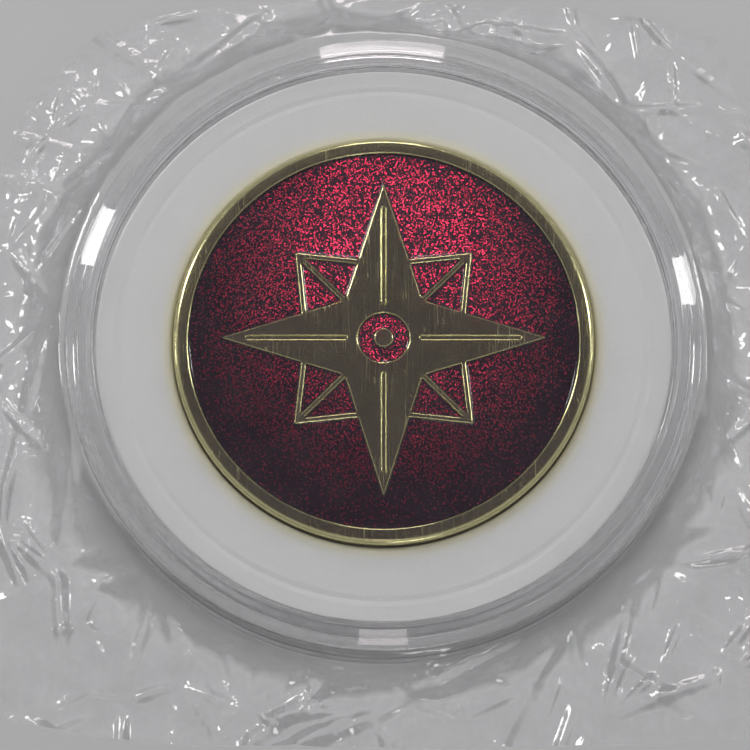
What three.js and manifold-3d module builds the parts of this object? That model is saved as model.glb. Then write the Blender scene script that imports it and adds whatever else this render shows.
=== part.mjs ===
// A struck challenge coin with enamel fills, held by a foam ring in a clear two-part capsule,
// inside a clear film bag. Millimetres, +Z up. The coin's axis is the Z axis, the north point of
// the compass rose on its front is towards +Y, and the bag lies on z = 0.
import * as THREE from "three";
import { mergeVertices } from "three/addons/utils/BufferGeometryUtils.js";
import Module from "manifold-3d";

const wasm = await Module();
wasm.setup();

// ---------- driving dimensions ----------

// Coin: a 1.5 inch blank.
const COIN_R = 19.05;
const COIN_THICK = 3.0;
const COIN_EDGE_ROUND = 0.35;
const RIM_WIDTH = 1.5;
const RIM_BEVEL = 0.2;
const FIELD_DEPTH = 0.65;
const REVERSE_FIELD_DEPTH = 0.5;
const EMBLEM_BELOW_RIM = 0.1;
const ENAMEL_BELOW_RIM = 0.3;
const ENAMEL_GAP = 0.04;

// Front: a compass rose, with enamel in both halves of its four short points and round its centre.
const LONG_TIP_R = 14.8;
const LONG_WAIST_R = 5.0;
const SHORT_TIP_R = 11.4;
const SHORT_WAIST_R = 7.2;
const CELL_BORDER = 0.5;
const CELL_SPINE = 0.5;
const CENTRE_CELL_R = 2.3;
const PIP_R = 0.9;
const GROOVE_WIDTH = 0.25;
const GROOVE_DEPTH = 0.15;
const GROOVE_FROM_R = 3.3;
const GROOVE_TO_R = 12.4;

// Reverse: a star in two laurel branches.
const REVERSE_STAR_R = 5.2;
const REVERSE_STAR_WAIST_R = 2.1;
const WREATH_R = 11.6;
const WREATH_PAIRS = 7;
const WREATH_FROM_DEG = 14;
const WREATH_TO_DEG = 148;
const LEAF_LENGTH = 4.0;
const LEAF_WIDTH = 1.7;
const LEAF_LEAN_DEG = 29;
const LEAF_BEND = 0.12;
const LEAF_BLUNTNESS = 0.24;
const LEAF_FULLNESS = 0.62;
const LEAF_STEPS = 4;

// Foam ring.
const FOAM_R = 26.1;
const FOAM_HOLE_R = COIN_R + 0.1;
const FOAM_THICK = 2.35;

// Capsule: a base with a spigot wall, and a lid whose skirt slides over it.
const CAPSULE_R = 29.0;
const CAPSULE_WALL = 1.2;
const BASE_ROUND = 0.4;
const CHAMFER = 0.15;
const LEAD_IN = 0.2;
const SPIGOT_LEAD_IN = 0.3;
const SPIGOT_IN = 26.2;
const SPIGOT_OUT = 27.35;
const SPIGOT_HEIGHT = 3.15;
const BEAD = 0.1;
const BEAD_HEIGHT = 1.6;
const SKIRT_IN = 27.5;
const SKIRT_OUT = 28.75;
const LID_ROUND = 1.5;
const LID_WINDOW = 1.05;
const STACKING_RIM = 0.4;
const STACKING_RIM_IN = 26.2;
const STACKING_RIM_RAMP = 0.5;

// Bag: two welded sheets of clear film.
const FILM = 0.2;
const BAG_LEFT = -37.0;
const BAG_RIGHT = 36.0;
const BAG_BOTTOM = -36.5;
const BAG_TOP = 34.0;
const BAG_CORNER_R = 5.0;
const BAG_CORNER_REACH = 49.5;
const BAG_EDGE_Z = 0.5;
const BAG_CORNER_SPACING = 1.5;
const SHOULDER_R = SKIRT_OUT + 0.75;
const SHOULDER_RAMP = 0.6;
const SLOPE_STEPS = [0, 0.15, 0.4, 0.75, 1];

// Clearances and heights.
const SEAT = 0.1;
const COIN_CLEARANCE = 0.35;
const BAG_CLEARANCE = 0.3;
const BASE_Z = FILM + BAG_CLEARANCE / 2;
const FLOOR_Z = BASE_Z + CAPSULE_WALL;
const FOAM_Z = FLOOR_Z + SEAT;
const COIN_Z = FLOOR_Z + COIN_CLEARANCE + COIN_THICK / 2;
const LID_UNDER_Z = COIN_Z + COIN_THICK / 2 + COIN_CLEARANCE;
const LID_TOP_Z = LID_UNDER_Z + LID_WINDOW + STACKING_RIM;
const BAG_TOP_Z = LID_TOP_Z + BAG_CLEARANCE + FILM;

// How far a relief reaches into what it stands on, and how far a cut runs past what it cuts.
const ROOT = 0.2;
const PAST = 0.5;

// Facets round the turned pieces.
const COIN_FACETS = 72;
const CENTRE_FACETS = 32;
const CAPSULE_FACETS = 56;
const FOAM_FACETS = 48;
const BAG_FACETS = 56;

// ---------- materials ----------

const finish = (color, roughness, metalness, opacity = 1) =>
  new THREE.MeshStandardMaterial({ color, roughness, metalness, opacity, transparent: opacity < 1 });

const gold = () => finish(0xb09a5a, 0.22, 1);
const enamel = () => finish(0x8a1028, 0.2, 0.1);
const foam = () => finish(0xd8d8d4, 0.9, 0);
const clearPlastic = () => finish(0xe6eaec, 0.06, 0, 0.3);
const clearFilm = () => finish(0xf0f2f2, 0.1, 0, 0.2);

// ---------- helpers ----------

const group = new THREE.Group();

function add(name, geometry, material) {
  const mesh = new THREE.Mesh(geometry, material);
  mesh.name = name;
  group.add(mesh);
}

const at = ([x, y]) => new THREE.Vector2(x, y);

// A turned piece: the profile is a list of [radius, height] and runs anticlockwise in the r-z plane.
function turned(profile, facets) {
  const geometry = new THREE.LatheGeometry(profile.map(at), facets);
  geometry.rotateX(Math.PI / 2);
  return geometry;
}

// Points of a quarter round from one angle to another, for a turned profile.
function arc(cr, cz, radius, from, to, steps = 3) {
  const points = [];
  for (let i = 0; i <= steps; i += 1) {
    const angle = THREE.MathUtils.degToRad(from + ((to - from) * i) / steps);
    points.push([cr + radius * Math.cos(angle), cz + radius * Math.sin(angle)]);
  }
  return points;
}

function toSolid(geometry) {
  geometry.deleteAttribute("normal");
  geometry.deleteAttribute("uv");
  const merged = mergeVertices(geometry, 1e-4);
  return new wasm.Manifold(
    new wasm.Mesh({
      numProp: 3,
      vertProperties: new Float32Array(merged.attributes.position.array),
      triVerts: new Uint32Array(merged.index.array),
    }),
  );
}

function toGeometry(solid) {
  const mesh = solid.getMesh();
  const geometry = new THREE.BufferGeometry();
  geometry.setAttribute("position", new THREE.BufferAttribute(mesh.vertProperties, 3));
  geometry.setIndex(new THREE.BufferAttribute(mesh.triVerts, 1));
  geometry.computeVertexNormals();
  return geometry;
}

const joined = (solids) => solids.reduce((whole, solid) => whole.add(solid));

// A flat plate with the given outline, from one height to another.
function plate(outline, low, high) {
  const geometry = new THREE.ExtrudeGeometry(new THREE.Shape(outline), {
    depth: high - low,
    bevelEnabled: false,
    steps: 1,
  });
  geometry.translate(0, 0, low);
  return toSolid(geometry);
}

const polar = (radius, degrees) =>
  new THREE.Vector2(radius, 0).rotateAround(new THREE.Vector2(), THREE.MathUtils.degToRad(degrees));

// The outline with each of its edges moved outwards by its own distance (inwards where negative) and
// its corners kept sharp. It runs anticlockwise, and edge i goes from point i to the next one.
function offset(outline, distances) {
  const edges = outline.map((point, i) => {
    const along = outline[(i + 1) % outline.length].clone().sub(point).normalize();
    const outwards = new THREE.Vector2(along.y, -along.x);
    return { start: point.clone().addScaledVector(outwards, distances[i]), along };
  });
  return edges.map((edge, i) => {
    const last = edges[(i + edges.length - 1) % edges.length];
    const reach = edge.start.clone().sub(last.start).cross(edge.along) / last.along.cross(edge.along);
    return last.start.clone().addScaledVector(last.along, reach);
  });
}

const grown = (outline, distance) => offset(outline, outline.map(() => distance));

// ---------- outlines of the reliefs ----------

// A star with its first tip at an angle, and an inner corner halfway between each two tips.
function star(tips, tipR, waistR, degrees) {
  const step = 180 / tips;
  return Array.from({ length: 2 * tips }, (_, i) => polar(i % 2 ? waistR : tipR, degrees + step * i));
}

const circle = (radius, sides) =>
  Array.from({ length: sides }, (_, i) => polar(radius, (360 * i) / sides));

// One half of a short point: the triangle from the coin's axis to the point's tip and its corner on
// one side (1 is anticlockwise). Its long border and its spine are drawn in, and gap draws them in further.
function halfPoint({ degrees, side }, gap = 0) {
  const axis = new THREE.Vector2();
  const tip = polar(SHORT_TIP_R, degrees);
  const corner = polar(SHORT_WAIST_R, degrees + 45 * side);
  const border = -CELL_BORDER - gap;
  const spine = -CELL_SPINE / 2 - gap;
  return side > 0
    ? offset([axis, tip, corner], [spine, border, 0])
    : offset([axis, corner, tip], [0, border, spine]);
}

// A leaf from its root to its tip: blunt at the root, pointed at the tip, and bent to one side.
function leaf(root, tip, bend) {
  const along = tip.clone().sub(root);
  const across = new THREE.Vector2(-along.y, along.x).normalize();
  const control = root.clone().lerp(tip, 0.5).addScaledVector(across, 2 * bend);
  const spine = new THREE.QuadraticBezierCurve(root, control, tip);
  const left = [];
  const right = [];
  for (let i = 0; i < LEAF_STEPS; i += 1) {
    const t = i / LEAF_STEPS;
    const swell = Math.sin(Math.PI * (LEAF_BLUNTNESS + (1 - LEAF_BLUNTNESS) * t));
    const half = 0.5 * LEAF_WIDTH * swell ** LEAF_FULLNESS;
    const direction = spine.getTangent(t);
    const sideways = new THREE.Vector2(-direction.y, direction.x).multiplyScalar(half);
    left.push(spine.getPoint(t).add(sideways));
    right.push(spine.getPoint(t).sub(sideways));
  }
  return [...right, tip, ...left.reverse()];
}

// The reverse: a star between two laurel branches.
function wreath() {
  const outlines = [star(5, REVERSE_STAR_R, REVERSE_STAR_WAIST_R, 90)];
  for (const side of [-1, 1]) {
    for (let i = 0; i < WREATH_PAIRS; i += 1) {
      const share = i / (WREATH_PAIRS - 1);
      const degrees = -90 + side * THREE.MathUtils.lerp(WREATH_FROM_DEG, WREATH_TO_DEG, share);
      const root = polar(WREATH_R, degrees);
      for (const lean of [-1, 1]) {
        const tip = polar(LEAF_LENGTH, degrees + 90 * side + LEAF_LEAN_DEG * lean).add(root);
        outlines.push(leaf(root, tip, LEAF_BEND * lean));
      }
    }
  }
  return outlines;
}

// ---------- coin ----------

const faceZ = COIN_Z + COIN_THICK / 2;
const backZ = COIN_Z - COIN_THICK / 2;
const fieldZ = faceZ - FIELD_DEPTH;
const reverseFieldZ = backZ + REVERSE_FIELD_DEPTH;
const emblemZ = faceZ - EMBLEM_BELOW_RIM;
const enamelZ = faceZ - ENAMEL_BELOW_RIM;
const enamelBedZ = fieldZ + ENAMEL_GAP / 2;
const fieldR = COIN_R - RIM_WIDTH;

const longPoints = star(4, LONG_TIP_R, LONG_WAIST_R, 90);
const shortPoints = star(4, SHORT_TIP_R, SHORT_WAIST_R, 45);
const CELLS = [
  ["northeast", 45],
  ["northwest", 135],
  ["southwest", 225],
  ["southeast", 315],
].flatMap(([direction, degrees]) => [
  { name: `enamel_${direction}_a`, degrees, side: 1 },
  { name: `enamel_${direction}_b`, degrees, side: -1 },
]);

function coinDisc() {
  const outer = COIN_R - COIN_EDGE_ROUND;
  const profile = [
    [0, reverseFieldZ],
    [fieldR, reverseFieldZ],
    [fieldR + RIM_BEVEL, backZ],
    ...arc(outer, backZ + COIN_EDGE_ROUND, COIN_EDGE_ROUND, -90, 0),
    ...arc(outer, faceZ - COIN_EDGE_ROUND, COIN_EDGE_ROUND, 0, 90),
    [fieldR + RIM_BEVEL, faceZ],
    [fieldR, faceZ - RIM_BEVEL],
    [fieldR, fieldZ],
    [0, fieldZ],
  ];
  return toSolid(turned(profile, COIN_FACETS));
}

// A fine line struck along one long point.
function groove(degrees) {
  const half = GROOVE_WIDTH / 2;
  const corners = [
    [GROOVE_FROM_R, -half],
    [GROOVE_TO_R, -half],
    [GROOVE_TO_R, half],
    [GROOVE_FROM_R, half],
  ];
  const axis = new THREE.Vector2();
  const outline = corners.map((p) => at(p).rotateAround(axis, THREE.MathUtils.degToRad(degrees)));
  return plate(outline, emblemZ - GROOVE_DEPTH, emblemZ + PAST);
}

function coinBlank() {
  const relief = (outline) => plate(outline, fieldZ - ROOT, emblemZ);
  const pocket = (outline) => plate(outline, fieldZ, emblemZ + PAST);
  const cells = joined(CELLS.map((cell) => pocket(halfPoint(cell))));
  const lines = joined([0, 90, 180, 270].map(groove));
  const centre = pocket(circle(CENTRE_CELL_R, CENTRE_FACETS));
  const pip = relief(circle(PIP_R, CENTRE_FACETS));
  const reverse = wreath().map((o) => plate(o, backZ + EMBLEM_BELOW_RIM, reverseFieldZ + ROOT));
  return coinDisc()
    .add(relief(shortPoints))
    .subtract(cells)
    .add(relief(longPoints))
    .subtract(lines)
    .subtract(centre)
    .add(pip)
    .add(joined(reverse));
}

// Enamel inside an outline, cut back from each metal relief that stands in it.
function enamelFill(outline, reliefs) {
  const cuts = reliefs.map((o) => plate(grown(o, ENAMEL_GAP), fieldZ - PAST, enamelZ + PAST));
  return toGeometry(plate(outline, enamelBedZ, enamelZ).subtract(joined(cuts)));
}

const ground = circle(fieldR - ENAMEL_GAP, COIN_FACETS);
const centreCell = circle(CENTRE_CELL_R - ENAMEL_GAP, CENTRE_FACETS);
add("coin_blank", toGeometry(coinBlank()), gold());
add("enamel_ground", enamelFill(ground, [longPoints, shortPoints]), enamel());
add("enamel_centre", enamelFill(centreCell, [circle(PIP_R, CENTRE_FACETS)]), enamel());
for (const cell of CELLS) {
  add(cell.name, enamelFill(halfPoint(cell, ENAMEL_GAP), [longPoints]), enamel());
}

// ---------- foam ring ----------

const foamTop = FOAM_Z + FOAM_THICK;
add(
  "foam_ring",
  turned(
    [
      [FOAM_HOLE_R, FOAM_Z],
      [FOAM_R, FOAM_Z],
      [FOAM_R, foamTop],
      [FOAM_HOLE_R, foamTop],
      [FOAM_HOLE_R, FOAM_Z],
    ],
    FOAM_FACETS,
  ),
  foam(),
);

// ---------- capsule ----------

const spigotTop = FLOOR_Z + SPIGOT_HEIGHT;
const beadZ = FLOOR_Z + BEAD_HEIGHT;
add(
  "capsule_base",
  turned(
    [
      [0, BASE_Z],
      ...arc(CAPSULE_R - BASE_ROUND, BASE_Z + BASE_ROUND, BASE_ROUND, -90, 0),
      [CAPSULE_R, FLOOR_Z - CHAMFER],
      [CAPSULE_R - CHAMFER, FLOOR_Z],
      [SPIGOT_OUT, FLOOR_Z],
      [SPIGOT_OUT, beadZ - 2 * BEAD],
      [SPIGOT_OUT + BEAD, beadZ],
      [SPIGOT_OUT, beadZ + 2 * BEAD],
      [SPIGOT_OUT, spigotTop - SPIGOT_LEAD_IN],
      [SPIGOT_OUT - SPIGOT_LEAD_IN, spigotTop],
      [SPIGOT_IN + LEAD_IN, spigotTop],
      [SPIGOT_IN, spigotTop - LEAD_IN],
      [SPIGOT_IN, FLOOR_Z],
      [0, FLOOR_Z],
    ],
    CAPSULE_FACETS,
  ),
  clearPlastic(),
);

const skirtBottom = FLOOR_Z + SEAT;
add(
  "capsule_lid",
  turned(
    [
      [0, LID_UNDER_Z],
      [SKIRT_IN, LID_UNDER_Z],
      [SKIRT_IN, beadZ + 2 * BEAD],
      [SKIRT_IN + BEAD, beadZ],
      [SKIRT_IN, beadZ - 2 * BEAD],
      [SKIRT_IN, skirtBottom + LEAD_IN],
      [SKIRT_IN + LEAD_IN, skirtBottom],
      [SKIRT_OUT - CHAMFER, skirtBottom],
      [SKIRT_OUT, skirtBottom + CHAMFER],
      ...arc(SKIRT_OUT - LID_ROUND, LID_TOP_Z - LID_ROUND, LID_ROUND, 0, 90, 5),
      [STACKING_RIM_IN + STACKING_RIM_RAMP, LID_TOP_Z],
      [STACKING_RIM_IN, LID_TOP_Z - STACKING_RIM],
      [0, LID_TOP_Z - STACKING_RIM],
    ],
    CAPSULE_FACETS,
  ),
  clearPlastic(),
);

// ---------- bag ----------

// The bag's outline: a rectangle with round corners.
function bagOutline() {
  const path = new THREE.Path();
  const right = BAG_RIGHT - BAG_CORNER_R;
  const top = BAG_TOP - BAG_CORNER_R;
  const left = BAG_LEFT + BAG_CORNER_R;
  const bottom = BAG_BOTTOM + BAG_CORNER_R;
  path.absarc(right, bottom, BAG_CORNER_R, -Math.PI / 2, 0, false);
  path.absarc(right, top, BAG_CORNER_R, 0, Math.PI / 2, false);
  path.absarc(left, top, BAG_CORNER_R, Math.PI / 2, Math.PI, false);
  path.absarc(left, bottom, BAG_CORNER_R, Math.PI, 1.5 * Math.PI, false);
  const points = path.curves.flatMap((curve) => {
    const pieces = curve.isLineCurve ? 1 : Math.round(curve.getLength() / BAG_CORNER_SPACING);
    return curve.getSpacedPoints(pieces);
  });
  return points.filter((p, i) => p.distanceTo(points.at(i - 1)) > 1e-3);
}

// How far the bag reaches from the coin's axis in a direction.
function bagReach(angle) {
  const across = Math.cos(angle);
  const along = Math.sin(angle);
  const toSide = (across > 0 ? BAG_RIGHT : -BAG_LEFT) / Math.max(Math.abs(across), 1e-6);
  const toEnd = (along > 0 ? BAG_TOP : -BAG_BOTTOM) / Math.max(Math.abs(along), 1e-6);
  return Math.min(toSide, toEnd, BAG_CORNER_REACH);
}

// The front film: flat over the lid, down past the lid's edge, then out to the bag's edge.
// It is turned with its outer part 1 mm wide, and that part is then stretched to the bag's edge.
function frontFilm() {
  const edgeTop = BAG_EDGE_Z + FILM;
  const height = (t) => edgeTop + (BAG_TOP_Z - edgeTop) * (1 - t) ** 2;
  const under = SLOPE_STEPS.map((t) => [SHOULDER_R + t, height(t) - FILM]);
  const over = SLOPE_STEPS.map((t) => [SHOULDER_R + t, height(t)]).reverse();
  const flatUnder = [[0, BAG_TOP_Z - FILM], [SHOULDER_R - SHOULDER_RAMP, BAG_TOP_Z - FILM]];
  const geometry = turned([...flatUnder, ...under, ...over, [0, BAG_TOP_Z]], BAG_FACETS);
  const position = geometry.attributes.position;
  for (let i = 0; i < position.count; i += 1) {
    const radius = Math.hypot(position.getX(i), position.getY(i));
    const outwards = radius - SHOULDER_R;
    if (outwards > 0) {
      const angle = Math.atan2(position.getY(i), position.getX(i));
      const stretched = SHOULDER_R + outwards * (bagReach(angle) - SHOULDER_R);
      position.setX(i, Math.cos(angle) * stretched);
      position.setY(i, Math.sin(angle) * stretched);
    }
  }
  return geometry;
}

add("bag_front_film", frontFilm(), clearFilm());
add("bag_back_film", toGeometry(plate(bagOutline(), 0, FILM)), clearFilm());

export default group;
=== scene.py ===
"""Looks for the challenge coin in its foam ring, clear capsule and film bag.

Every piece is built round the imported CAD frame, in the frame's own place and size.
"""
import math

import bpy
import numpy as np
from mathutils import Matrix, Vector
from mathutils.bvhtree import BVHTree
from mathutils.geometry import delaunay_2d_cdt
from mathutils.kdtree import KDTree


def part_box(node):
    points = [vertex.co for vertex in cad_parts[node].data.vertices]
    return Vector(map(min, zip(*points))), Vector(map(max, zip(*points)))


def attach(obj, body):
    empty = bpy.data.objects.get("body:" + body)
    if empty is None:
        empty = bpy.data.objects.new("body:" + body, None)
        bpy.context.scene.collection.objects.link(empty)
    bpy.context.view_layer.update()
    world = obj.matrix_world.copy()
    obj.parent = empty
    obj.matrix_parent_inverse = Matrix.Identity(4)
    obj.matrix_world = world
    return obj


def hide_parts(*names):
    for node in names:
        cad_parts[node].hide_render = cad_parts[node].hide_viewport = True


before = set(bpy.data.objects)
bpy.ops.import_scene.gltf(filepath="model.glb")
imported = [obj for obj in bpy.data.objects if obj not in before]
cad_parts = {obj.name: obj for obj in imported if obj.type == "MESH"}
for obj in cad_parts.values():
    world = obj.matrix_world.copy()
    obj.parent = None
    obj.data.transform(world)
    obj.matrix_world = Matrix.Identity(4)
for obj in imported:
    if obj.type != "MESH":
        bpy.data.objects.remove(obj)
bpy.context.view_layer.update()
scene = bpy.context.scene

MM = 0.001

# ---------- sizes, in millimetres, taken from the frame where it has them ----------


def node_box(node):
    """A CAD node's lowest and highest corners, in millimetres."""
    low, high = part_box(node)
    return np.array(low) / MM, np.array(high) / MM


coin_low, coin_high = node_box("coin_blank")
enamel_low, enamel_high = node_box("enamel_ground")
foam_low, foam_high = node_box("foam_ring")
base_low, base_high = node_box("capsule_base")
lid_low, lid_high = node_box("capsule_lid")
_, front_high = node_box("bag_front_film")
back_low, back_high = node_box("bag_back_film")

COIN_R = coin_high[0]
COIN_TOP = coin_high[2]
COIN_BOTTOM = coin_low[2]
RELIEF_BELOW_RIM = 0.1
EMBLEM_TOP = COIN_TOP - RELIEF_BELOW_RIM
REVERSE_TOP = COIN_BOTTOM + RELIEF_BELOW_RIM
REVERSE_FIELD = COIN_BOTTOM + 0.5
GROOVE_FLOOR = EMBLEM_TOP - 0.15
GROOVE_OVERLAP = 0.04
ENAMEL_TOP = enamel_high[2]
ENAMEL_BED = enamel_low[2]
FIELD_TOP = ENAMEL_BED - 0.02
FIELD_R = COIN_R - 1.5
RELIEF_ROOT = 0.2
FOAM_HOLE_R = COIN_R + 0.1
FOAM_R = foam_high[0]
CAPSULE_R = base_high[0]
CAPSULE_FLOOR = base_low[2] + 1.2
SPIGOT_IN = FOAM_R + 0.1
SPIGOT_OUT = SPIGOT_IN + 1.15
SKIRT_IN = SPIGOT_OUT + 0.15
SKIRT_R = lid_high[0]
LID_TOP = lid_high[2]
WINDOW_TOP = LID_TOP - 0.4
LID_UNDER = WINDOW_TOP - 1.05
RING_IN = FOAM_R + 0.1

# ---------- meshes ----------


CRISP_ANGLE = 32


def mesh_object(name, verts, faces, material, sharp=CRISP_ANGLE):
    """A smooth-shaded mesh from points in millimetres, crisp at edges of more than `sharp` degrees."""
    mesh = bpy.data.meshes.new(name)
    mesh.from_pydata([tuple(c * MM for c in v) for v in verts], [], faces)
    mesh.validate()
    mesh.polygons.foreach_set("use_smooth", [True] * len(mesh.polygons))
    mesh.set_sharp_from_angle(angle=math.radians(sharp))
    obj = bpy.data.objects.new(name, mesh)
    scene.collection.objects.link(obj)
    mesh.materials.append(material)
    return obj


def filleted(corners, steps=6):
    """A profile of (radius, height) with rounded corners; each corner is (radius, height, fillet)."""
    out = []
    count = len(corners)
    for i, (r, z, fillet) in enumerate(corners):
        here = np.array([r, z])
        if fillet <= 0:
            out.append(tuple(here))
            continue
        back = np.array(corners[i - 1][:2]) - here
        on = np.array(corners[(i + 1) % count][:2]) - here
        back /= np.linalg.norm(back)
        on /= np.linalg.norm(on)
        half = math.acos(np.clip(back @ on, -1, 1)) / 2
        reach = fillet / math.tan(half)
        middle = (back + on) / np.linalg.norm(back + on)
        centre = here + middle * fillet / math.sin(half)
        first = here + back * reach - centre
        last = here + on * reach - centre
        start = math.atan2(first[1], first[0])
        turn = (math.atan2(last[1], last[0]) - start + math.pi) % (2 * math.pi) - math.pi
        for k in range(steps + 1):
            angle = start + turn * k / steps
            out.append((centre[0] + fillet * math.cos(angle), centre[1] + fillet * math.sin(angle)))
    return out


def guarded(profile, inset=0.06, longest=0.6):
    """The profile with a point near each end of its long straight stretches, so that they shade flat."""
    out = []
    for here, after in zip(profile, profile[1:]):
        here, after = np.array(here), np.array(after)
        out.append(tuple(here))
        length = np.linalg.norm(after - here)
        if length > longest:
            along = (after - here) / length * inset
            out += [tuple(here + along), tuple(after - along)]
    return [*out, tuple(profile[-1])]


def turned(name, profile, material, sides=240):
    """A turned solid from a profile of (radius, height); a point on the axis becomes one vertex."""
    profile = guarded(profile)
    verts = []
    rings = []
    for r, z in profile:
        if r < 1e-6:
            rings.append([len(verts)] * sides)
            verts.append((0, 0, z))
            continue
        rings.append(list(range(len(verts), len(verts) + sides)))
        angles = [2 * math.pi * k / sides for k in range(sides)]
        verts += [(r * math.cos(a), r * math.sin(a), z) for a in angles]
    faces = []
    for i, ring in enumerate(rings):
        above = rings[(i + 1) % len(rings)]
        for k in range(sides):
            k2 = (k + 1) % sides
            face = [ring[k], ring[k2], above[k2], above[k]]
            face = list(dict.fromkeys(face))
            if len(face) > 2:
                faces.append(face)
    return mesh_object(name, verts, faces, material)


LEVEL_SLACK = 0.003


def face_outlines(node, level, side):
    """The outlines, as closed loops of (x, y), of a CAD node's flat faces at a height; side is 1 for up."""
    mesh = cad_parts[node].data
    points = {}
    directed = set()
    for polygon in mesh.polygons:
        corners = [mesh.vertices[v].co / MM for v in polygon.vertices]
        if any(abs(c.z - level) > LEVEL_SLACK for c in corners) or polygon.normal.z * side < 0.9:
            continue
        keys = [(round(c.x, 3), round(c.y, 3)) for c in corners]
        points.update(zip(keys, [(c.x, c.y) for c in corners]))
        for a, b in zip(keys, keys[1:] + keys[:1]):
            directed.add((a, b))
    border = [(a, b) for a, b in directed if (b, a) not in directed]
    onward = {}
    for a, b in sorted(border):
        onward.setdefault(a, []).append(b)
    loops = []
    while onward:
        start = min(onward)
        loop = [start]
        here = start
        while True:
            following = onward[here].pop()
            if not onward[here]:
                del onward[here]
            if following == start or following not in onward:
                break
            loop.append(following)
            here = following
        if len(loop) > 2:
            loops.append(np.array([points[k] for k in loop]))
    return loops


def smoothed(loop, spacing=0.12, corner=38):
    """The loop as a smooth curve through its own points, with closer points, and sharp at its corners."""
    back = loop - np.roll(loop, 1, axis=0)
    on = np.roll(loop, -1, axis=0) - loop
    turn = np.abs(
        np.arctan2(back[:, 0] * on[:, 1] - back[:, 1] * on[:, 0], (back * on).sum(1))
    )
    is_corner = np.degrees(turn) > corner
    count = len(loop)
    out = []
    for i in range(count):
        a, b = loop[i], loop[(i + 1) % count]
        before = 2 * a - b if is_corner[i] else loop[i - 1]
        after = 2 * b - a if is_corner[(i + 1) % count] else loop[(i + 2) % count]
        length = np.linalg.norm(b - a)
        pieces = max(1, round(length / spacing))
        spans = [np.linalg.norm(q - p) ** 0.5 + 1e-9 for p, q in ((before, a), (a, b), (b, after))]
        t0, t1, t2, t3 = np.cumsum([0, *spans])
        for k in range(pieces):
            t = t1 + (t2 - t1) * k / pieces
            a1 = (t1 - t) / (t1 - t0) * before + (t - t0) / (t1 - t0) * a
            a2 = (t2 - t) / (t2 - t1) * a + (t - t1) / (t2 - t1) * b
            a3 = (t3 - t) / (t3 - t2) * b + (t - t2) / (t3 - t2) * after
            b1 = (t2 - t) / (t2 - t0) * a1 + (t - t0) / (t2 - t0) * a2
            b2 = (t3 - t) / (t3 - t1) * a2 + (t - t1) / (t3 - t1) * a3
            out.append((t2 - t) / (t2 - t1) * b1 + (t - t1) / (t2 - t1) * b2)
    return np.array(out)


def within(triangles, walls):
    """The triangles inside the walls, counted in from the outer border: each wall crossed swaps sides."""
    owners = {}
    for index, t in enumerate(triangles):
        for pair in zip(t, t[1:] + t[:1]):
            owners.setdefault(frozenset(pair), []).append(index)
    side = {}
    queue = []
    for pair, pieces in owners.items():
        if len(pieces) == 1 and pieces[0] not in side:
            side[pieces[0]] = pair in walls
            queue.append(pieces[0])
    while queue:
        index = queue.pop()
        t = triangles[index]
        for pair in map(frozenset, zip(t, t[1:] + t[:1])):
            for other in owners[pair]:
                if other not in side:
                    side[other] = side[index] != (pair in walls)
                    queue.append(other)
    return [t for index, t in enumerate(triangles) if side[index]]


class Edge:
    """The distance from any point to a set of closed loops."""

    def __init__(self, loops):
        self.points = np.concatenate(loops)
        self.ends = np.concatenate([np.roll(loop, -1, axis=0) for loop in loops])
        before = []
        first = 0
        for loop in loops:
            before += [first + (k - 1) % len(loop) for k in range(len(loop))]
            first += len(loop)
        self.before = np.array(before)
        self.tree = KDTree(len(self.points))
        for i, p in enumerate(self.points):
            self.tree.insert((*p, 0), i)
        self.tree.balance()

    def distance(self, queries):
        """Each query's distance to the nearer of the two sides that meet at its nearest point."""
        nearest = np.array([self.tree.find((*q, 0))[1] for q in queries])
        best = np.full(len(queries), np.inf)
        for index in (nearest, self.before[nearest]):
            a = self.points[index]
            along = self.ends[index] - a
            t = ((queries - a) * along).sum(1) / np.maximum((along * along).sum(1), 1e-12)
            foot = a + np.clip(t, 0, 1)[:, None] * along
            best = np.minimum(best, np.linalg.norm(queries - foot, axis=1))
        return best


PLATE_CRISP_ANGLE = 50
MITRE_LIMIT = 0.25
ROW_SLACK = 0.93
CLOSEST_POINTS = 0.045


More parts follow.
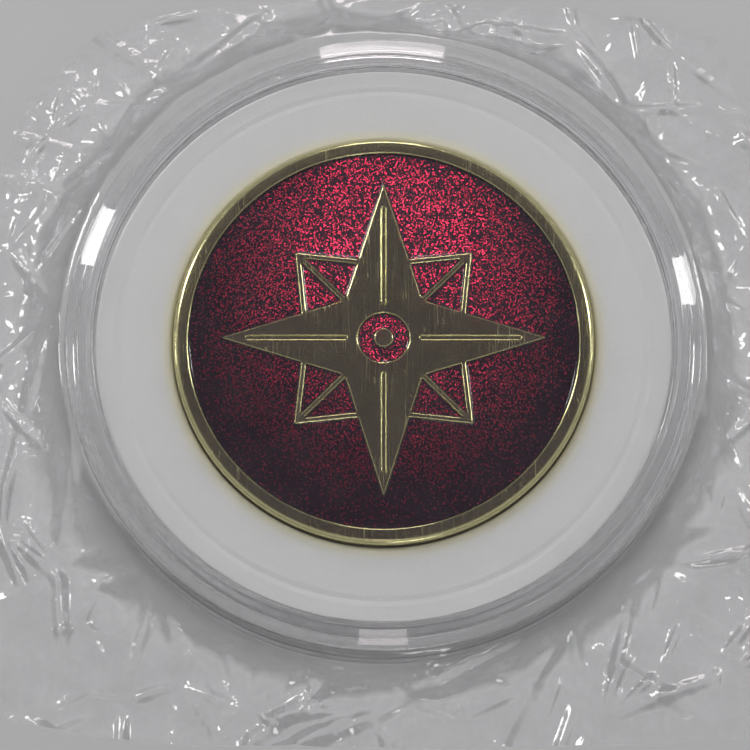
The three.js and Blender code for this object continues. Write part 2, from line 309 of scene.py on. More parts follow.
def plate(name, loops, low, top, rows, material, side=1):
    """A closed plate with the given outlines, down (or up) to the height low.

    top(distance from the edge) is its shown face's height, and rows are the distances from the edge at
    which that face gets a row of points. side -1 makes a plate that faces down.
    """
    edge = Edge(loops)
    border = np.concatenate(loops)
    inner = []
    for loop in loops:
        back = loop - np.roll(loop, 1, axis=0)
        on = np.roll(loop, -1, axis=0) - loop
        back /= np.linalg.norm(back, axis=1)[:, None]
        on /= np.linalg.norm(on, axis=1)[:, None]
        normal = np.stack([back[:, 1] + on[:, 1], -back[:, 0] - on[:, 0]], axis=1)
        normal /= np.maximum(np.linalg.norm(normal, axis=1), 1e-9)[:, None]
        cosine = np.maximum(normal[:, 0] * on[:, 1] - normal[:, 1] * on[:, 0], MITRE_LIMIT)
        for row in rows:
            moved = loop - side * normal * (row / cosine)[:, None]
            inner.append(moved[edge.distance(moved) > ROW_SLACK * row])
    candidates = np.concatenate([border[:0], *inner])
    if len(candidates):
        cell = np.round(candidates / CLOSEST_POINTS).astype(int)
        _, unique = np.unique(cell, axis=0, return_index=True)
        candidates = candidates[np.sort(unique)]
    points = np.concatenate([border, candidates])
    constraints = []
    first = 0
    for loop in loops:
        constraints += [(first + k, first + (k + 1) % len(loop)) for k in range(len(loop))]
        first += len(loop)
    flat, borders, triangles, _, made_from, _ = delaunay_2d_cdt(
        [Vector(p) for p in points], constraints, [], 0, 1e-6
    )
    walls = {frozenset(pair) for pair, source in zip(borders, made_from) if source}
    triangles = within([list(t) for t in triangles], walls)
    used = sorted({v for t in triangles for v in t})
    number = {v: k for k, v in enumerate(used)}
    triangles = [[number[v] for v in t] for t in triangles]
    flat = np.array([tuple(flat[v]) for v in used])
    heights = np.array([top(d) for d in edge.distance(flat)])
    verts = [(x, y, z) for (x, y), z in zip(flat, heights)]
    faces = []
    directed = set()
    for t in triangles:
        p, q, r = flat[t[0]], flat[t[1]], flat[t[2]]
        if ((q[0] - p[0]) * (r[1] - p[1]) - (q[1] - p[1]) * (r[0] - p[0])) * side < 0:
            t.reverse()
        faces.append(t)
        directed.update(zip(t, t[1:] + t[:1]))
    rim = sorted((a, b) for a, b in directed if (b, a) not in directed)
    foot = len(verts)
    verts += [(x, y, low) for x, y in flat]
    faces += [[v + foot for v in reversed(face)] for face in faces]
    faces += [[b, a, a + foot, b + foot] for a, b in rim]
    return mesh_object(name, verts, faces, material, PLATE_CRISP_ANGLE)


def united(name, parts):
    """Closed solids made into one closed solid."""
    whole = parts[0]
    for part in parts[1:]:
        cut = whole.modifiers.new("unite", "BOOLEAN")
        cut.operation = "UNION"
        cut.solver = "MANIFOLD"
        cut.object = part
    bpy.context.view_layer.update()
    mesh = bpy.data.meshes.new_from_object(whole.evaluated_get(bpy.context.evaluated_depsgraph_get()))
    mesh.name = name
    mesh.set_sharp_from_angle(angle=math.radians(CRISP_ANGLE))
    result = bpy.data.objects.new(name, mesh)
    scene.collection.objects.link(result)
    for part in parts:
        bpy.data.objects.remove(part)
    return result


# ---------- materials ----------


class Nodes:
    """A new material's node tree, with short ways to add and join nodes."""

    def __init__(self, name):
        self.material = bpy.data.materials.new(name)
        self.material.use_nodes = True
        self.tree = self.material.node_tree
        self.tree.nodes.clear()
        self.output = self.tree.nodes.new("ShaderNodeOutputMaterial")
        self.place = self.add("ShaderNodeTexCoord").outputs["Object"]

    def add(self, kind, **settings):
        node = self.tree.nodes.new(kind)
        for key, value in settings.items():
            setattr(node, key, value)
        return node

    def join(self, source, target):
        self.tree.links.new(source, target)

    def feed(self, socket, value):
        """Joins a node's output to the socket, or gives the socket a plain value."""
        if isinstance(value, bpy.types.NodeSocket):
            self.join(value, socket)
        else:
            socket.default_value = value

    def set(self, node, **values):
        """Feeds the node's sockets by name, with _ for a space."""
        for key, value in values.items():
            self.feed(node.inputs[key.replace("_", " ")], value)

    def mapped(self, scale=(1, 1, 1), turn=0.0, offset=(0, 0, 0)):
        """The place on the object, scaled, turned about Z and moved."""
        node = self.add("ShaderNodeMapping")
        self.join(self.place, node.inputs["Vector"])
        node.inputs["Scale"].default_value = scale
        node.inputs["Rotation"].default_value = (0, 0, turn)
        node.inputs["Location"].default_value = offset
        return node.outputs[0]

    def noise(self, scale, detail=3.0, vector=None):
        node = self.add("ShaderNodeTexNoise")
        self.set(node, Scale=scale, Detail=detail, Roughness=0.5)
        self.join(vector or self.place, node.inputs["Vector"])
        return node.outputs["Fac"]

    def ramp(self, source, stops):
        """The colour at source between stops of (position, colour)."""
        node = self.add("ShaderNodeValToRGB")
        self.join(source, node.inputs["Fac"])
        elements = node.color_ramp.elements
        while len(elements) < len(stops):
            elements.new(0.5)
        for element, (position, colour) in zip(elements, stops):
            element.position = position
            element.color = (*colour, 1)
        return node.outputs["Color"]

    def maths(self, operation, a, b=0.0):
        node = self.add("ShaderNodeMath", operation=operation)
        for socket, value in zip(node.inputs, (a, b)):
            self.feed(socket, value)
        return node.outputs[0]

    def vectors(self, operation, a, b=(0, 0, 0)):
        node = self.add("ShaderNodeVectorMath", operation=operation)
        for socket, value in zip(node.inputs, (a, b)):
            self.feed(socket, value)
        return node

    def mix(self, factor, a, b):
        """The colour a where the factor is 0, and b where it is 1."""
        node = self.add("ShaderNodeMix", data_type="RGBA")
        for index, value in ((0, factor), (6, a), (7, b)):
            self.feed(node.inputs[index], value)
        return node.outputs[2]

    def bump(self, height, strength, distance, normal=None):
        node = self.add("ShaderNodeBump")
        self.set(node, Strength=strength, Distance=distance, Height=height)
        if normal:
            self.join(normal, node.inputs["Normal"])
        return node.outputs[0]

    def radius(self, centre_y=0.0):
        """The distance from an upright axis through (0, centre_y)."""
        flat = self.mapped(scale=(1, 1, 0), offset=(0, -centre_y, 0))
        return self.vectors("LENGTH", flat).outputs["Value"]

    def eased(self, value, start, end, first=0.0, last=1.0):
        """From first to last, smoothly, as the value goes from start to end."""
        node = self.add("ShaderNodeMapRange", interpolation_type="SMOOTHSTEP")
        self.set(node, Value=value)
        settings = {"From Min": start, "From Max": end, "To Min": first, "To Max": last}
        for key, setting in settings.items():
            node.inputs[key].default_value = setting
        return node.outputs["Result"]

    def voronoi(self, scale):
        node = self.add("ShaderNodeTexVoronoi", voronoi_dimensions="3D", feature="F1")
        self.set(node, Scale=scale)
        self.join(self.place, node.inputs["Vector"])
        return node

    def blended(self, factor, first, second):
        """The first shader where the factor is 0, and the second where it is 1."""
        node = self.add("ShaderNodeMixShader")
        for socket, source in zip(node.inputs, (factor, first, second)):
            self.join(source, socket)
        return node.outputs[0]

    def lets_light_through(self, shader, share):
        """The shader, except that shadow rays pass straight through it, dimmed to that share."""
        clear = self.add("ShaderNodeBsdfTransparent")
        self.set(clear, Color=(share, share, share, 1))
        path = self.add("ShaderNodeLightPath")
        return self.blended(path.outputs["Is Shadow Ray"], shader, clear.outputs[0])

    def done(self, shader):
        self.join(shader, self.output.inputs["Surface"])
        return self.material


def scratches(n, scale, turn, width, offset):
    """Fine straight scratches: a stretched noise, cut so that only thin lines are left."""
    lines = n.noise(scale, 2.0, n.mapped(scale=(1, 0.02, 1), turn=turn, offset=offset))
    near = n.maths("ABSOLUTE", n.maths("SUBTRACT", lines, 0.5))
    line = n.maths("SUBTRACT", 1.0, n.maths("MINIMUM", n.maths("DIVIDE", near, width), 1.0))
    patches = n.noise(180.0, 1.0, n.mapped(offset=(offset[1], offset[0], 0)))
    return n.maths("MULTIPLY", line, n.maths("GREATER_THAN", patches, 0.53))


def gold_material():
    """Struck brass under thin plating: mirror-like, with hairline scratches and a few dull smears."""
    n = Nodes("gold_plate")
    broad = n.noise(300, 3.0)
    marks = scratches(n, 1700, turn=0.35, width=0.004, offset=(0.1, 0.3, 0))
    for scale, turn, offset in ((1300, 1.45, (0.7, 0.2, 0)), (2000, 2.7, (0.4, 0.9, 0))):
        marks = n.maths("MAXIMUM", marks, scratches(n, scale, turn, 0.0035, offset))
    colour = n.mix(broad, (0.60, 0.56, 0.28, 1), (0.66, 0.62, 0.33, 1))
    rough = n.maths("ADD", n.maths("MULTIPLY", broad, 0.10), 0.09)
    rough = n.maths("ADD", rough, n.maths("MULTIPLY", marks, 0.20))
    normal = n.bump(marks, 0.4, 0.0000018)
    shader = n.add("ShaderNodeBsdfPrincipled")
    n.set(shader, Base_Color=colour, Metallic=1.0, Roughness=rough, Normal=normal)
    return n.done(shader.outputs[0])


FLAKE_SCALE = 6300.0
FLAKE_REACH = 0.42
FLAKE_TILT = 0.36


def enamel_material():
    """Dark clear red enamel. Its flakes each lie at a slightly different tilt, and grow fewer towards the
    edge as painted shade that dims the glitter there.
    """
    n = Nodes("red_glitter_enamel")
    flakes = n.voronoi(FLAKE_SCALE)
    split = n.add("ShaderNodeSeparateColor")
    n.join(flakes.outputs["Color"], split.inputs[0])
    near = n.maths("LESS_THAN", flakes.outputs["Distance"], FLAKE_REACH)
    # Painted shade: beyond about 12.5 mm from a point 2.2 mm above the middle, fewer and fewer flakes are
    # kept, so the glitter darkens towards the edge.
    uneven = n.maths("MULTIPLY", n.maths("SUBTRACT", n.noise(260, 3.0), 0.5), 5.0 * MM)
    painted_shade_distance = n.maths("ADD", n.radius(centre_y=2.2 * MM), uneven)
    empty = n.eased(painted_shade_distance, 12.5 * MM, 17.5 * MM, 0.30, 0.90)
    flake = n.maths("MULTIPLY", near, n.maths("GREATER_THAN", split.outputs[2], empty))
    shine = n.ramp(split.outputs[2], [(0.3, (0.050, 0.0015, 0.005)), (1.0, (0.22, 0.009, 0.026))])
    pool = n.mix(n.noise(420, 3.0), (0.008, 0.004, 0.005, 1), (0.016, 0.005, 0.007, 1))
    colour = n.mix(flake, pool, shine)
    tilt = n.vectors("SUBTRACT", flakes.outputs["Color"], (0.5, 0.5, 0.5))
    tilted = n.add("ShaderNodeVectorMath", operation="SCALE")
    n.join(tilt.outputs[0], tilted.inputs[0])
    tilted.inputs["Scale"].default_value = FLAKE_TILT
    geometry = n.add("ShaderNodeNewGeometry")
    summed = n.vectors("ADD", geometry.outputs["Normal"], tilted.outputs[0])
    flake_normal = n.vectors("NORMALIZE", summed.outputs[0]).outputs[0]
    surface = n.bump(n.noise(700, 2.0), 0.05, 0.00005)
    shader = n.add("ShaderNodeBsdfPrincipled")
    n.set(shader, Base_Color=colour, Metallic=n.maths("MULTIPLY", flake, 0.95), Normal=flake_normal)
    n.set(shader, Roughness=0.40, Specular_IOR_Level=0.0)
    n.set(shader, Coat_Weight=1.0, Coat_Roughness=0.03, Coat_IOR=1.5, Coat_Normal=surface)
    return n.done(shader.outputs[0])


def foam_material():
    """Closed-cell white foam with fine pits and a faint mottle, and a painted warm glow beside the gold
    that stands in for light reflected off it.
    """
    n = Nodes("white_foam")
    cells = n.voronoi(4200.0)
    broad = n.noise(300, 4.0)
    white = n.mix(broad, (0.52, 0.525, 0.52, 1), (0.555, 0.56, 0.555, 1))
    # Painted reflected light: the foam is tinted warm within about 1.5 mm of the coin, where the gold would
    # throw light onto it.
    painted_gold_glow = n.eased(n.radius(), (COIN_R + 1.55) * MM, (COIN_R + 0.15) * MM, 0.0, 0.75)
    colour = n.mix(painted_gold_glow, white, (0.58, 0.55, 0.37, 1))
    pits = n.bump(cells.outputs["Distance"], 0.18, 0.00006)
    normal = n.bump(broad, 0.08, 0.0003, pits)
    shader = n.add("ShaderNodeBsdfPrincipled")
    n.set(shader, Base_Color=colour, Roughness=0.85, Normal=normal, Specular_IOR_Level=0.3)
    return n.done(shader.outputs[0])


def clear_plastic_material():
    """Clear polystyrene, a little hazy in the thick ring outside the window, where its colour is also
    darkened as painted shade.
    """
    n = Nodes("clear_styrene")
    normal = n.bump(n.noise(900, 3.0), 0.04, 0.00005)
    clearness = n.eased(n.radius(), FOAM_R * MM, (FOAM_R + 0.5) * MM, 1.0, 0.955)
    outwards = n.maths("DIVIDE", n.radius(), SKIRT_R * MM)
    # Painted shade: the ring outside the window gets a darker grey colour than the nearly clear window.
    tint_and_ring_shade = n.ramp(outwards, [(0.895, (0.985, 0.986, 0.988)), (0.92, (0.87, 0.872, 0.876))])
    glass = n.add("ShaderNodeBsdfPrincipled")
    n.set(glass, Base_Color=tint_and_ring_shade, Roughness=0.03, IOR=1.57)
    n.set(glass, Transmission_Weight=clearness, Normal=normal)
    return n.done(n.lets_light_through(glass.outputs[0], 0.975))


HEAD_ON_GLOSS = 0.052
GRAZING_GLOSS = 0.93


def film_wrinkles(n, loose):
    """Fine wrinkles all over, and small crumples in patches where the film is loose."""
    patches = n.ramp(n.noise(130, 2.0), [(0.50, (0.04, 0.04, 0.04)), (0.66, (1, 1, 1))])
    crumple = n.maths("ADD", n.voronoi(900.0).outputs["Distance"], n.noise(650, 3.0))
    crumple = n.maths("MULTIPLY", crumple, n.maths("MULTIPLY", patches, loose))
    fine = n.bump(n.noise(1800, 3.0), 0.10, 0.00006)
    return n.bump(crumple, 0.8, 0.0003, fine)


def painted_fold_shade(n):
    """Painted shade: white, so clear, where the film lies flat, and grey on the steep sides of its folds.
    """
    geometry = n.add("ShaderNodeNewGeometry")
    upright = n.add("ShaderNodeSeparateXYZ")
    n.join(geometry.outputs["Normal"], upright.inputs[0])
    slope = n.maths("SUBTRACT", 1.0, n.maths("ABSOLUTE", upright.outputs[2]))
    stops = [(0.0, (1, 1, 1)), (0.085, (0.98, 0.98, 0.98)), (0.24, (0.62, 0.62, 0.625))]
    return n.ramp(slope, stops)


def film_material():
    """Thin clear film: nearly invisible where it lies flat, with painted shade greying its steep folds,
    glossy all over.
    """
    n = Nodes("clear_film")
    loose = n.eased(n.radius(), SKIRT_R * MM, (SKIRT_R + 2.5) * MM, 0.05, 1.0)
    normal = film_wrinkles(n, loose)
    clear = n.add("ShaderNodeBsdfTransparent")
    n.join(painted_fold_shade(n), clear.inputs["Color"])
    milky = n.add("ShaderNodeBsdfDiffuse")
    n.set(milky, Color=(0.71, 0.71, 0.72, 1))
    haze = n.ramp(n.noise(330, 4.0), [(0.30, (0.10, 0.10, 0.10)), (0.70, (0.32, 0.32, 0.32))])
    body = n.blended(n.maths("MULTIPLY", haze, loose), clear.outputs[0], milky.outputs[0])
    gloss = n.add("ShaderNodeBsdfGlossy")
    n.set(gloss, Color=(1, 1, 1, 1), Roughness=0.08, Normal=normal)
    slant = n.add("ShaderNodeLayerWeight")
    n.set(slant, Blend=0.5, Normal=normal)
    grazing = n.maths("MULTIPLY", n.maths("POWER", slant.outputs["Facing"], 5.0), GRAZING_GLOSS)
    mirrored = n.maths("ADD", grazing, HEAD_ON_GLOSS)
    seen = n.blended(mirrored, body, gloss.outputs[0])
    return n.done(n.lets_light_through(seen, 0.985))


def floor_material():
    """A matt, nearly even pale grey."""
    n = Nodes("pale_floor")
    shader = n.add("ShaderNodeBsdfPrincipled")
    colour = n.mix(n.noise(120, 3.0), (0.565, 0.565, 0.565, 1), (0.59, 0.59, 0.59, 1))
    n.set(shader, Base_Color=colour, Roughness=0.7)
    return n.done(shader.outputs[0])


gold = gold_material()
enamel = enamel_material()
foam = foam_material()
styrene = clear_plastic_material()
film = film_material()

# ---------- coin ----------


def rounded_edge(height, round_over):
    """A face at a height whose edge is a quarter round."""

    def top(distance):
        fall = max(round_over - distance, 0) / round_over
        return height - round_over * (1 - math.sqrt(max(1 - fall * fall, 0)))

    return top


def meniscus(height, climb, width):
    """An enamel surface that climbs a little where it meets the metal."""

    def top(distance):
        return height + climb * max(1 - distance / width, 0) ** 2

    return top


def coin_body():
    """The turned blank: edge, rims and the sunk field on either side."""
    profile = filleted(
        [
            (0, REVERSE_FIELD, 0),
            (FIELD_R, REVERSE_FIELD, 0.08),
            (FIELD_R + 0.12, COIN_BOTTOM, 0.12),
            (COIN_R, COIN_BOTTOM, 0.4),
            (COIN_R, COIN_TOP, 0.58),
            (FIELD_R + 0.1, COIN_TOP, 0.2),
            (FIELD_R, FIELD_TOP, 0.05),
            (0, FIELD_TOP, 0),
        ],
        steps=10,
    )
    return turned("coin_body", profile, gold, sides=360)


EDGE_ROUND = 0.17
REVERSE_ROUND = 0.12
EDGE_ROWS = [EDGE_ROUND * share for share in (0.12, 0.3, 0.6, 1.0, 1.5)]


def emblem():
    """The raised compass rose, on the CAD's own outlines."""
    loops = [smoothed(loop) for loop in face_outlines("coin_blank", EMBLEM_TOP, 1)]
    top = rounded_edge(EMBLEM_TOP, EDGE_ROUND)
    return plate("emblem", loops, FIELD_TOP - RELIEF_ROOT, top, EDGE_ROWS, gold)


def groove_floors():
    """The floor of each fine line on the long points, a little wider than the line so that it joins."""
    floors = []
    for loop in face_outlines("coin_blank", GROOVE_FLOOR, 1):
        middle = loop.mean(axis=0)
        outwards = np.sign(loop - middle) * GROOVE_OVERLAP
        root = FIELD_TOP - RELIEF_ROOT
        floors.append(plate("groove", [loop + outwards], root, lambda d: GROOVE_FLOOR, [], gold))
    return floors


def wreath():
    """The back's raised star and branches, on the CAD's own outlines."""
    loops = [smoothed(loop) for loop in face_outlines("coin_blank", REVERSE_TOP, -1)]
    edge = rounded_edge(0, REVERSE_ROUND)
    rows = [REVERSE_ROUND * share for share in (0.3, 1.0, 1.5)]
    root = REVERSE_FIELD + RELIEF_ROOT
    return plate("wreath", loops, root, lambda d: REVERSE_TOP - edge(d), rows, gold, side=-1)


coin = united("coin_metal", [coin_body(), emblem(), *groove_floors(), wreath()])
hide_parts("coin_blank")
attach(coin, "coin")

enamel_surface = meniscus(ENAMEL_TOP - 0.02, climb=0.06, width=0.22)
ENAMEL_ROWS = [0.07, 0.15, 0.24]
enamel_fills = []
for node in [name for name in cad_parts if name.startswith("enamel_")]:
    outlines = [smoothed(loop) for loop in face_outlines(node, ENAMEL_TOP, 1)]
    name = node.replace("enamel_", "enamel_fill_")
    fill = plate(name, outlines, ENAMEL_BED, enamel_surface, ENAMEL_ROWS, enamel)
    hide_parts(node)
    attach(fill, "coin")
    enamel_fills.append(fill)

# ---------- foam ring ----------

DENT_R = 24.0
DENT_HALF = 0.45
DENT_DEPTH = 0.08
foam_profile = filleted(
    [
        (FOAM_HOLE_R, foam_low[2], 0.15),
        (FOAM_R, foam_low[2], 0.15),
        (FOAM_R, foam_high[2], 0.35),
        (DENT_R + DENT_HALF, foam_high[2], 0.4),
        (DENT_R, foam_high[2] - DENT_DEPTH, 0.5),
        (DENT_R - DENT_HALF, foam_high[2], 0.4),
        (FOAM_HOLE_R, foam_high[2], 0.35),
    ]
)
ring = turned("foam_ring_soft", foam_profile, foam)
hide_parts("foam_ring")
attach(ring, "foam")

# ---------- capsule ----------

base_profile = filleted(
    [
        (0, base_low[2], 0),
        (CAPSULE_R, base_low[2], 0.45),
        (CAPSULE_R, CAPSULE_FLOOR, 0.2),
        (SPIGOT_OUT, CAPSULE_FLOOR, 0.1),
        (SPIGOT_OUT, base_high[2], 0.3),
        (SPIGOT_IN, base_high[2], 0.25),
        (SPIGOT_IN, CAPSULE_FLOOR, 0.3),
        (0, CAPSULE_FLOOR, 0),
    ]
)
base = turned("capsule_base_shell", base_profile, styrene, sides=320)
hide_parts("capsule_base")
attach(base, "base")

lid_profile = filleted(
    [
        (0, LID_UNDER, 0),
        (SKIRT_IN, LID_UNDER, 0.3),
        (SKIRT_IN, lid_low[2], 0.15),
        (SKIRT_R, lid_low[2], 0.15),
        (SKIRT_R, LID_TOP - 0.72, 0.55),
        (SKIRT_R - 0.5, LID_TOP - 0.52, 0.25),
        (SKIRT_R - 1.85, LID_TOP, 0.3),
        (RING_IN + 0.5, LID_TOP, 0.12),
        (RING_IN, WINDOW_TOP, 0.2),
        (0, WINDOW_TOP, 0),
    ],
    steps=12,
)
lid = turned("capsule_lid_shell", lid_profile, styrene, sides=320)
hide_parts("capsule_lid")
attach(lid, "lid")

# ---------- bag ----------


class Facets:
    """A crumpled sheet's height: flat facets between random points, with creases where they meet."""

    def __init__(self, spacing, seed):
        rng = np.random.default_rng(seed)
        low = back_low[:2] - 3 * spacing
        high = back_high[:2] + 3 * spacing
        nx, ny = (int(v) for v in np.ceil((high - low) / spacing))
        grid = np.stack(np.meshgrid(np.arange(nx), np.arange(ny)), axis=-1).reshape(-1, 2)
        places = low + (grid + rng.uniform(0.05, 0.95, grid.shape)) * spacing
        values = rng.uniform(-1, 1, len(places))
        self.points, _, faces, _, _, _ = delaunay_2d_cdt([Vector(p) for p in places], [], [], 0, 1e-6)
        corners = [(p.x, p.y, value) for p, value in zip(self.points, values)]
        self.tree = BVHTree.FromPolygons(corners, [list(face) for face in faces])
        self.edges = sorted({tuple(sorted(pair)) for f in faces for pair in zip(f, [*f[1:], f[0]])})

    def __call__(self, points):
        down = Vector((0, 0, -1))
        hits = [self.tree.ray_cast(Vector((x, y, 2)), down)[0] for x, y in points]
        return np.array([hit.z if hit else 0.0 for hit in hits])


FOLD_CONTRAST = 1.6
FAINTEST_FOLD = 0.03


def folds(facets, points, width, commonness, seed):
    """Sharp narrow folds along some of the facets' edges, strongest where they run round the capsule."""
    rng = np.random.default_rng(seed)
    out = np.zeros(len(points))
    for a, b in facets.edges:
        rank = rng.uniform() - (1 - commonness)
        strength = np.clip(FOLD_CONTRAST * rank, 0, 1) / max(FOLD_CONTRAST * commonness, 1)
        p, q = np.array(facets.points[a]), np.array(facets.points[b])
        along = q - p
        length = np.linalg.norm(along)
        middle = (p + q) / 2
        tangent = np.array([-middle[1], middle[0]]) / max(np.linalg.norm(middle), 1e-6)
        strength *= 0.35 + 0.65 * abs(along @ tangent / length) ** 2
        if strength < FAINTEST_FOLD:
            continue
        near = np.where(np.linalg.norm(points - middle, axis=1) < length / 2 + width)[0]
        share = np.clip((points[near] - p) @ along / length**2, 0, 1)
        distance = np.linalg.norm(points[near] - p - share[:, None] * along, axis=1)
        height = strength * np.clip(1 - distance / width, 0, 1) * np.sin(math.pi * share) ** 0.8
        out[near] = np.maximum(out[near], height)
    return out


def smoothstep(low, high, x):
    """0 below low, 1 above high, and smoothly from one to the other between them."""
    t = np.clip((x - low) / (high - low), 0, 1)
    return t * t * (3 - 2 * t)


FAR_PULL = (9.5, 6.0)
NEAR_PULL = (4.5, 2.0)
PULL_SHARE = (0.75, 0.6)
EDGE_RIPPLE = 0.35


def gathered(points):
    """The bag's plan: a rectangle whose corners are drawn in, the far left one most."""
    low, high = back_low[:2], back_high[:2]
    middle, half = (low + high) / 2, (high - low) / 2
    u = (points - middle) / half
    nearness = np.abs(u[:, 0] * u[:, 1]) ** 3.0
    is_left = u[:, 0] < 0
    pull = np.where(u[:, 1] > 0, np.where(is_left, *FAR_PULL), np.where(is_left, *NEAR_PULL))
    ripple = EDGE_RIPPLE * np.sin(points[:, 1] * 0.9 + 1) * np.abs(u[:, 0]) ** 8
    moved = points - np.sign(u) * (pull * nearness)[:, None] * PULL_SHARE
    moved[:, 0] -= np.sign(u[:, 0]) * np.abs(ripple)
    return moved


FILM_STEP = 0.28


def film_sheet(name, height):
    """A sheet over the bag's plan, whose height(points) gives each point's z."""
    nx = int((back_high[0] - back_low[0]) / FILM_STEP)
    ny = int((back_high[1] - back_low[1]) / FILM_STEP)
    xs = np.linspace(back_low[0], back_high[0], nx)
    ys = np.linspace(back_low[1], back_high[1], ny)
    points = gathered(np.stack(np.meshgrid(xs, ys), axis=-1).reshape(-1, 2))
    verts = [(x, y, z) for (x, y), z in zip(points, height(points))]
    faces = [
        [j * nx + i, j * nx + i + 1, (j + 1) * nx + i + 1, (j + 1) * nx + i]
        for j in range(ny - 1)
        for i in range(nx - 1)
    ]
    return mesh_object(name, verts, faces, film, sharp=180)


longest = Facets(13.0, seed=2)
big = Facets(8.0, seed=4)
middling = Facets(4.2, seed=7)
small = Facets(1.9, seed=11)
FILM_OVER_LID = front_high[2] - 0.15
FILM_LEAVES_LID = SKIRT_R - 0.4
FILM_FULLY_LOOSE = SKIRT_R + 3.2
FILM_DROP = 2.9
FILM_EDGE_Z = 1.6
FILM_LOWEST = 0.5
UNDER_CAPSULE_Z = 0.06


def front_height(points):
    """Flat over the lid, steeply down past its edge, then crumpled out to the bag's edge.

    What would go below the lowest height is folded up above it, shallower.
    """
    radius = np.linalg.norm(points, axis=1)
    height = np.full(len(points), FILM_OVER_LID)
    loose = radius > FILM_LEAVES_LID
    p, r = points[loose], radius[loose]
    crumple = 0.62 * big(p) + 0.36 * middling(p) + 0.13 * small(p)
    creases = 1.4 * folds(longest, p, width=1.0, commonness=0.7, seed=20)
    creases += 1.3 * folds(big, p, width=0.8, commonness=0.75, seed=21)
    creases += 0.8 * folds(middling, p, width=0.5, commonness=0.55, seed=22)
    amount = smoothstep(FILM_LEAVES_LID, FILM_FULLY_LOOSE, r)
    past = np.maximum(r - SKIRT_R, 0)
    drop = FILM_DROP * (1 + 0.45 * big(p * 0.35 + 20))
    drape = FILM_EDGE_Z + (height[loose] - FILM_EDGE_Z) * np.exp(-((past / drop) ** 1.5))
    height[loose] = drape + amount * (crumple + creases)
    return FILM_LOWEST + np.maximum(height - FILM_LOWEST, 0.35 * np.abs(height - FILM_LOWEST))


def back_height(points):
    """Flat under the capsule, and a little crumpled beyond it."""
    radius = np.linalg.norm(points, axis=1)
    crumple = 0.3 * np.abs(big(points + 5)) + 0.15 * np.abs(middling(points + 3))
    return UNDER_CAPSULE_Z + smoothstep(CAPSULE_R, CAPSULE_R + 5, radius) * crumple * 0.7


BAG_WIDTH, BAG_HEIGHT = (back_high - back_low)[:2]
front = film_sheet("bag_front_sheet", front_height)
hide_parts("bag_front_film")
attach(front, "bag_front")
back = film_sheet("bag_back_sheet", back_height)
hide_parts("bag_back_film")
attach(back, "bag_back")

# ---------- stage, camera and light ----------


FLOOR_HALF = 1.2
FLOOR_Z = -0.00002


def floor():
    """A pale floor just under the bag."""
    half = FLOOR_HALF
    corners = [(-half, -half, 0), (half, -half, 0), (half, half, 0), (-half, half, 0)]
    mesh = bpy.data.meshes.new("floor")
    mesh.from_pydata(corners, [], [(0, 1, 2, 3)])
    mesh.materials.append(floor_material())
    obj = bpy.data.objects.new("floor", mesh)
    scene.collection.objects.link(obj)
    obj.location.z = FLOOR_Z
    return obj


floor()

CAMERA_ELEVATION = math.radians(74.5)
CAMERA_DISTANCE = 0.24
SEEN_WIDTH = 0.0675
SENSOR_WIDTH = 36
aim = Vector((-0.00078, -0.00345, COIN_TOP * MM))
camera_data = bpy.data.cameras.new("camera")
camera = bpy.data.objects.new("camera", camera_data)
scene.collection.objects.link(camera)
towards_camera = Vector((0, -math.cos(CAMERA_ELEVATION), math.sin(CAMERA_ELEVATION)))
camera.location = aim + CAMERA_DISTANCE * towards_camera
camera.rotation_euler = (math.pi / 2 - CAMERA_ELEVATION, 0, 0)
camera_data.sensor_width = SENSOR_WIDTH
camera_data.lens = SENSOR_WIDTH * CAMERA_DISTANCE / SEEN_WIDTH
camera_data.clip_start = 0.005
scene.camera = camera


BOX_DISTANCE = 0.55
SPOT_SIZE = 0.006
DARK_ELEVATION = 78
DARK_INNER = 24
DARK_OUTER = 52
SKY_BRIGHT = (0.48, 0.488, 0.48)
SKY_DARK = (0.070, 0.060, 0.088)


def direction_to(azimuth, elevation):
    """The unit vector towards an azimuth, counted from +X to +Y, and an elevation, in degrees."""
    a, e = math.radians(azimuth), math.radians(elevation)
    return Vector((math.cos(e) * math.cos(a), math.cos(e) * math.sin(a), math.sin(e)))


def soft_box(name, azimuth, elevation, size, radiance, colour=(1, 1, 1)):
    """A rectangular light aimed at the coin, as bright as its radiance says."""
    data = bpy.data.lights.new(name, "AREA")
    data.shape = "RECTANGLE"
    data.size, data.size_y = size
    data.energy = radiance * math.pi * size[0] * size[1]
    data.color = colour
    light = bpy.data.objects.new(name, data)
    direction = direction_to(azimuth, elevation)
    light.location = direction * BOX_DISTANCE
    light.rotation_euler = direction.to_track_quat("Z", "Y").to_euler()
    scene.collection.objects.link(light)


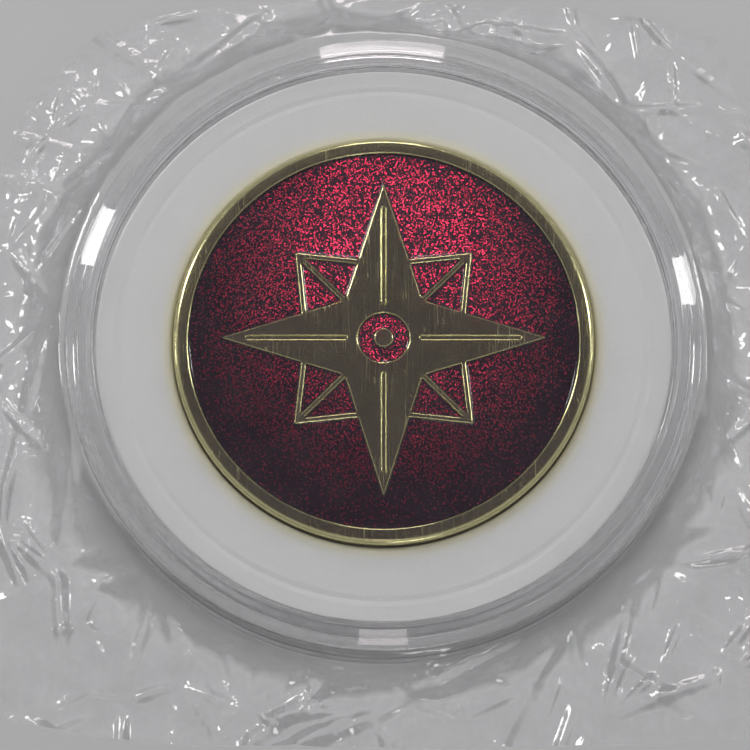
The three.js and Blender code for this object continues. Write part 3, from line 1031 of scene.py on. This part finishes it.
def glitter_spot(azimuth, elevation, distance, aimed_at, cone, energy):
    """A small soft-edged spot that lights only the enamel and picks out its glitter."""
    data = bpy.data.lights.new("glitter_spot", "SPOT")
    data.energy = energy
    data.spot_size = math.radians(cone)
    data.spot_blend = 1.0
    data.shadow_soft_size = SPOT_SIZE
    light = bpy.data.objects.new("glitter_spot", data)
    light.location = direction_to(azimuth, elevation) * distance
    light.rotation_euler = (light.location - aimed_at).to_track_quat("Z", "Y").to_euler()
    lit = bpy.data.collections.new("glitter_lit")
    for fill in enamel_fills:
        lit.objects.link(fill)
    light.light_linking.receiver_collection = lit
    scene.collection.objects.link(light)


def studio_world():
    """A pale sky that is dark overhead, so that level gold and enamel mirror something dark."""
    world = bpy.data.worlds.new("studio")
    scene.world = world
    world.use_nodes = True
    nodes, links = world.node_tree.nodes, world.node_tree.links
    place = nodes.new("ShaderNodeTexCoord")
    towards = nodes.new("ShaderNodeVectorMath")
    towards.operation = "DOT_PRODUCT"
    towards.inputs[1].default_value = direction_to(90, DARK_ELEVATION)
    ramp = nodes.new("ShaderNodeMapRange")
    ramp.interpolation_type = "SMOOTHSTEP"
    ramp.inputs["From Min"].default_value = math.cos(math.radians(DARK_OUTER))
    ramp.inputs["From Max"].default_value = math.cos(math.radians(DARK_INNER))
    links.new(place.outputs["Generated"], towards.inputs[0])
    links.new(towards.outputs["Value"], ramp.inputs["Value"])
    mix = nodes.new("ShaderNodeMix")
    mix.data_type = "RGBA"
    mix.inputs[6].default_value = (*SKY_BRIGHT, 1)
    mix.inputs[7].default_value = (*SKY_DARK, 1)
    links.new(ramp.outputs["Result"], mix.inputs[0])
    links.new(mix.outputs[2], nodes["Background"].inputs["Color"])


ROSY = (1.0, 0.91, 0.92)
soft_box("left_box", 143, 37, (0.08, 0.20), 16)
soft_box("right_box", 29, 38, (0.065, 0.18), 15)
soft_box("left_low_box", 168, 15, (0.07, 0.07), 14)
soft_box("right_low_box", 12, 15, (0.07, 0.07), 14)
soft_box("far_box", 90, 24, (0.15, 0.11), 8, ROSY)
soft_box("near_box", -90, 57, (0.07, 0.035), 4, ROSY)
soft_box("front_box", -80, 16, (0.14, 0.06), 9)
GLOW_CENTRE = Vector((0.001, 0.0085, COIN_TOP * MM))
glitter_spot(90, 57, 0.22, GLOW_CENTRE, cone=8.2, energy=6.0)
studio_world()

scene.view_settings.view_transform = "Standard"
scene.view_settings.look = "None"
scene.view_settings.exposure = 0
scene.cycles.max_bounces = 16
scene.cycles.transparent_max_bounces = 24
scene.cycles.transmission_bounces = 14
